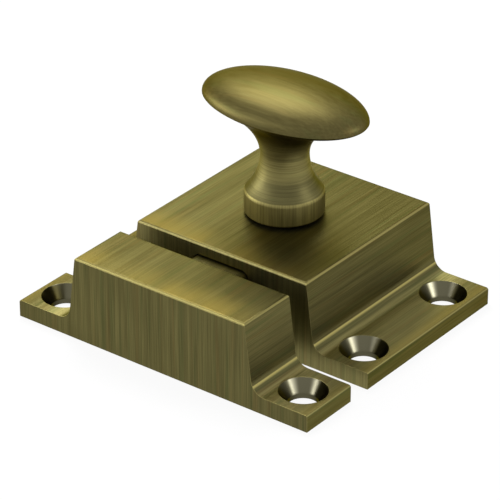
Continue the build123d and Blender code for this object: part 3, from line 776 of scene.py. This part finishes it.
class LOCK_OT_knob(bpy.types.Operator):
    """Builds the knob: bored collar, waisted neck and smooth oval head"""

    bl_idname = "lock.knob"
    bl_label = "Knob"

    def execute(self, context):
        sizes = context.scene.lock_knob
        foot = KNOB_LOW.z
        waist = foot + sizes.waist_rise
        girth = foot + sizes.girth_rise
        arc_centre = sizes.waist_radius + sizes.neck_arc_radius
        drop = math.sqrt(sizes.neck_arc_radius ** 2 - (arc_centre - sizes.collar_radius) ** 2)
        shoulder = waist - drop
        rings = [
            (foot + sizes.bore_depth, sizes.bore_radius, sizes.bore_radius),
            (foot, sizes.bore_radius, sizes.bore_radius),
            (foot, sizes.collar_radius, sizes.collar_radius),
            (shoulder, sizes.collar_radius, sizes.collar_radius),
        ]
        neck_steps, underside_steps, dome_steps = 14, 44, 20
        for step in range(1, neck_steps + 1):
            below = drop * (1 - step / neck_steps)
            radius = arc_centre - math.sqrt(sizes.neck_arc_radius ** 2 - below ** 2)
            rings.append((waist - below, radius, radius))
        for step in range(1, underside_steps + 1):
            share = step / underside_steps
            rings.append((
                waist + share * (girth - waist),
                sizes.waist_radius + growth(share, 1) * (sizes.head_half_x - sizes.waist_radius),
                sizes.waist_radius + growth(share, 2) * (sizes.head_half_y - sizes.waist_radius),
            ))
        for step in range(1, dome_steps):
            angle = math.pi / 2 * step / dome_steps
            rings.append((
                girth + (KNOB_HIGH.z - girth) * math.sin(angle),
                sizes.head_half_x * math.cos(angle),
                sizes.head_half_y * math.cos(angle),
            ))
        bm = bmesh.new()
        stack_rings(bm, rings, sizes.segments, pole=KNOB_HIGH.z)
        for ring_z, offset in ((foot, sizes.collar_break), (shoulder, sizes.shoulder_round)):
            edges = [
                edge for edge in bm.edges
                if all(
                    math.hypot(v.co.z - ring_z, v.co.xy.length - sizes.collar_radius) < SAME
                    for v in edge.verts
                )
            ]
            bevel(bm, edges, offset, CORNER_SEGMENTS)
        brass = knob_brass("knob_brass", foot, waist, context.scene.lock_colours)
        piece = new_piece("oval_knob", bm, [brass], "turn", ["knob"])
        shade_smooth(piece, 40)
        return {"FINISHED"}


class LOCK_OT_springs(bpy.types.Operator):
    """Builds the two coil springs that push the bolt out"""

    bl_idname = "lock.springs"
    bl_label = "Springs"

    def execute(self, context):
        sizes = context.scene.lock_springs
        wire = plain_metal("spring_wire", context.scene.lock_colours.spring, 0.28, 9.0, 0.3)
        coil_radius = (sizes.outer - sizes.wire) / 2
        steps = sizes.coils * sizes.coil_steps
        for side in ("left", "right"):
            low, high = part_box("bolt_spring_" + side)
            centre = (low + high) / 2
            run = high.y - low.y - sizes.wire
            start = Vector((centre.x + coil_radius, low.y + sizes.wire / 2, centre.z))
            bm = bmesh.new()
            bmesh.ops.create_circle(
                bm, cap_ends=False, segments=10, radius=sizes.wire / 2, matrix=Matrix.Translation(start),
            )
            bmesh.ops.spin(
                bm, geom=bm.verts[:] + bm.edges[:], cent=centre, axis=(0.0, 1.0, 0.0),
                dvec=(0.0, run / steps, 0.0), angle=-2 * math.pi * sizes.coils, steps=steps,
                use_merge=False, use_duplicate=False,
            )
            bmesh.ops.remove_doubles(bm, verts=bm.verts, dist=LEVEL)
            bmesh.ops.holes_fill(bm, edges=bm.edges, sides=12)
            name = "coil_spring_" + side
            piece = new_piece(name, bm, [wire], "mounting", ["bolt_spring_" + side])
            piece.data.shade_smooth()
            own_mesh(piece)
        return {"FINISHED"}


class LOCK_OT_mechanism(bpy.types.Operator):
    """Gives the bolt, spindle, crank, washers, plate and screws their metals"""

    bl_idname = "lock.mechanism"
    bl_label = "Mechanism"

    def execute(self, context):
        tones = context.scene.lock_colours
        metals = {
            # Bolt numbers: edge wear-and-glint on fronts and ends, then painted light on fronts, ends and
            # top.
            "bolt_brass": casting_brass("bolt_brass", BOLT_LOW, BOLT_HIGH, tones, 0.2, 0.2, 0.3, 0.1, 0.2),
            "dark_steel": plain_metal("dark_steel", tones.dark_steel, 0.42, 5.0, 0.4),
            "mechanism_steel": plain_metal("mechanism_steel", tones.steel, 0.32, 6.0, 0.3),
            "spring_steel": plain_metal("spring_steel", tones.spring, 0.26, 8.0, 0.25),
            "plate_steel": plain_metal("plate_steel", tones.steel, 0.38, 3.0, 0.35),
        }
        rebuilt = {"latch_housing", "keeper", "knob", "bolt_spring_left", "bolt_spring_right"}
        for part in frame["record"]["subparts"]:
            if part["node"] not in rebuilt:
                slots = frame["nodes"][part["node"]].data.materials
                slots.clear()
                slots.append(metals[part["material_slot"]])
        return {"FINISHED"}


class LOCK_OT_stage(bpy.types.Operator):
    """Sets up the floor, the soft lamps, the white surround and the camera"""

    bl_idname = "lock.stage"
    bl_label = "Stage"

    def execute(self, context):
        stage = context.scene.lock_stage
        context.scene.view_settings.view_transform = "Standard"
        self.camera(context.scene, stage)
        self.floor(stage)
        self.surround(context.scene)
        self.lamp("head_lamp", (-0.45, 0.32, 0.82), 0.35, 0.18, 0.18, stage.head_power)
        self.lamp("back_lamp", (-0.60, 0.62, 0.46), 0.30, 0.24, 0.14, stage.back_power)
        self.lamp("front_lamp", (-0.48, -0.75, 0.45), 0.80, 0.40, 0.24, stage.front_power)
        self.lamp("left_lamp", (-0.88, -0.44, 0.15), 0.80, 0.50, 0.26, stage.left_power)
        self.lamp("side_lamp", (0.83, 0.30, 0.46), 0.40, 0.18, 0.12, stage.side_power)
        return {"FINISHED"}

    def camera(self, scene, stage):
        turn, rise = stage.azimuth, stage.elevation
        level = math.cos(rise)
        forward = Vector((-math.sin(turn) * level, math.cos(turn) * level, -math.sin(rise)))
        right = Vector((math.cos(turn), math.sin(turn), 0.0))
        up = right.cross(forward)
        target = right * stage.aim_right + up * stage.aim_up
        data = bpy.data.cameras.new("photo_camera")
        data.lens = stage.lens
        data.sensor_width = 36.0
        data.clip_start = 0.01
        camera = bpy.data.objects.new("photo_camera", data)
        facing = Matrix((right, up, -forward)).transposed().to_4x4()
        camera.matrix_world = Matrix.Translation(target - forward * stage.distance) @ facing
        scene.collection.objects.link(camera)
        scene.camera = camera

    def floor(self, stage):
        bm = bmesh.new()
        bmesh.ops.create_grid(bm, x_segments=1, y_segments=1, size=6.0)
        floor = new_object("floor", bm)
        finish = Finish(bpy.data.materials.new("floor_white"))
        matte = finish.add("ShaderNodeBsdfDiffuse", values={"Color": colour(stage.floor_tone)})
        white = finish.add("ShaderNodeEmission", values={"Color": (1.0, 1.0, 1.0, 1.0), "Strength": 1.0})
        mixed = finish.add("ShaderNodeMixShader", values={0: finish.seen() * 0.9, 1: matte, 2: white})
        finish.add("ShaderNodeOutputMaterial", values={"Surface": mixed})
        floor.data.materials.append(finish.owner)

    def surround(self, scene):
        finish = Finish(bpy.data.worlds.new("surround"))
        strength = 0.8 + 0.2 * finish.seen()
        white = finish.add(
            "ShaderNodeBackground", values={"Color": (1.0, 1.0, 1.0, 1.0), "Strength": strength},
        )
        finish.add("ShaderNodeOutputWorld", values={"Surface": white})
        scene.world = finish.owner

    def lamp(self, name, direction, distance, size_x, size_y, power):
        data = bpy.data.lights.new(name, "AREA")
        data.shape = "RECTANGLE"
        data.size = size_x
        data.size_y = size_y
        data.energy = power
        lamp = bpy.data.objects.new(name, data)
        aim = Vector((0.0, 0.0, 20.0 * MM))
        lamp.location = aim + Vector(direction).normalized() * distance
        lamp.rotation_euler = (-Vector(direction)).to_track_quat("-Z", "Y").to_euler()
        bpy.context.scene.collection.objects.link(lamp)


class LOCK_PT_panel(bpy.types.Panel):
    bl_label = "Cabinet lock"
    bl_idname = "LOCK_PT_panel"
    bl_space_type = "VIEW_3D"
    bl_region_type = "UI"
    bl_category = "Cabinet lock"

    def draw(self, context):
        layout = self.layout
        for name in GROUPS:
            group = getattr(context.scene, name)
            box = layout.box()
            for setting in group.__annotations__:
                box.prop(group, setting)
        for operator in OPERATORS:
            layout.operator(operator.bl_idname)


OPERATORS = (
    LOCK_OT_stage,
    LOCK_OT_keeper,
    LOCK_OT_latch,
    LOCK_OT_knob,
    LOCK_OT_springs,
    LOCK_OT_mechanism,
)
GROUPS = {
    "lock_castings": CastingSizes,
    "lock_knob": KnobSizes,
    "lock_springs": SpringSizes,
    "lock_colours": LockColours,
    "lock_stage": StageSettings,
}


def register():
    for name, group in GROUPS.items():
        bpy.utils.register_class(group)
        setattr(bpy.types.Scene, name, PointerProperty(type=group))
    for kind in (*OPERATORS, LOCK_PT_panel):
        bpy.utils.register_class(kind)


def unregister():
    for kind in (LOCK_PT_panel, *reversed(OPERATORS)):
        bpy.utils.unregister_class(kind)
    for name, group in GROUPS.items():
        delattr(bpy.types.Scene, name)
        bpy.utils.unregister_class(group)


def main():
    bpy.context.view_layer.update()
    register()
    bpy.ops.lock.stage()
    bpy.ops.lock.keeper()
    bpy.ops.lock.latch()
    bpy.ops.lock.knob()
    bpy.ops.lock.springs()
    bpy.ops.lock.mechanism()


if __name__ == "__main__":
    main()
